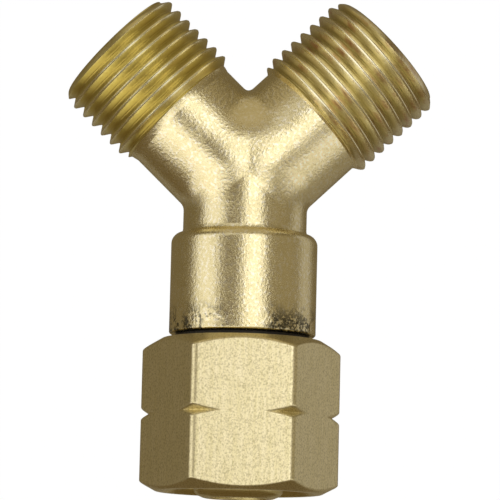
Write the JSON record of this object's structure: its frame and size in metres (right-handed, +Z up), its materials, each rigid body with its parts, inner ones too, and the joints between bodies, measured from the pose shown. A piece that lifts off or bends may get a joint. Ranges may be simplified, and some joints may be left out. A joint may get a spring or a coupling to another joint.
{
  "type": "gas hose Y splitter",
  "caption": "Brass Y splitter for fuel-gas hoses, with a hexagon swivel nut on the inlet stem and left-hand threaded outlets on the arms.",
  "frame": {"origin": "centre of the fitting's bounding box in plan, at its lowest point, which is the tip of the inlet nose", "axes": "+Z up the inlet's axis, from the inlet nose to the fork; X across the fork, in the plane of the two outlets; Y through the thickness"},
  "size_m": [0.0402, 0.019, 0.0549],
  "materials": {
    "blasted_brass": "bead-blasted forging, satin sparkle",
    "turned_brass": "turned, semi-bright",
    "drawn_brass": "drawn hexagon bar, fine lengthwise grain",
    "black_rubber": "matt black"
  },
  "bodies": {
    "body": {"y_body": "blasted_brass", "swivel_nipple": "turned_brass"},
    "ring": {"slip_ring": "black_rubber"},
    "nut": {"union_nut": "drawn_brass"}
  },
  "joints": [
    {"name": "nut_slide", "type": "slide", "parent": "body", "child": "ring", "axis": [0, 0, -1], "range_m": [0, 0.0068]},
    {"name": "nut_spin", "type": "hinge", "parent": "ring", "child": "nut", "pos_m": [0, 0, 0.009], "axis": [0, 0, 1], "continuous": true}
  ]
}
